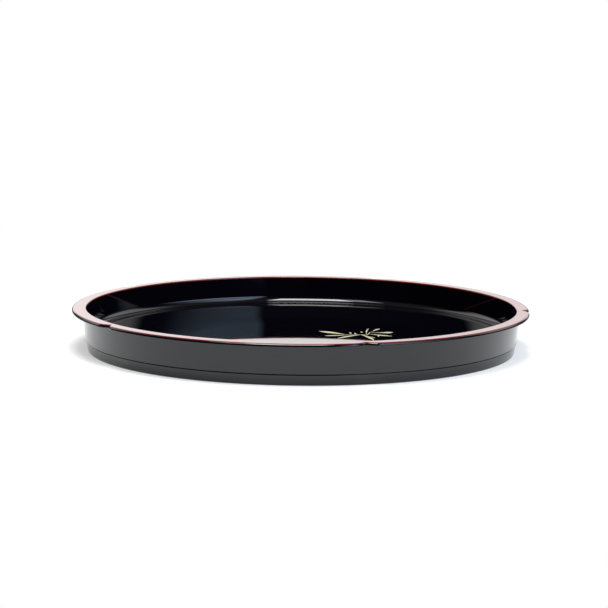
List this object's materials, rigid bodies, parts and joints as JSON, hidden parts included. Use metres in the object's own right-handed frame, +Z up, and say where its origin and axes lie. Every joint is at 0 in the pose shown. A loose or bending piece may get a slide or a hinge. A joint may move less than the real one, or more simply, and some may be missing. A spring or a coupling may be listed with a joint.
{
  "type": "serving tray",
  "caption": "Round gloss black serving tray with a lobed, notched red-topped rim, a gently dished floor with gold leaves, and a foot ring, for serving food.",
  "frame": {"origin": "middle of the tray on the surface it stands on", "axes": "+Z up through the middle of the tray, +X towards one of the five rim notches"},
  "size_m": [0.3588, 0.3594, 0.0332],
  "materials": {
    "black_lacquer": "mirror-gloss black lacquer on moulded ABS",
    "red_lacquer": "gloss vermilion lacquer",
    "gold_leaf": "pale champagne gold, satin"
  },
  "bodies": {
    "root": {"tray_pan": "black_lacquer", "foot_ring": "black_lacquer", "rim_lacquer": "red_lacquer", "left_leaves": "gold_leaf", "right_leaves": "gold_leaf", "leaf_stems": "gold_leaf", "leaf_buds": "gold_leaf"}
  },
  "joints": []
}
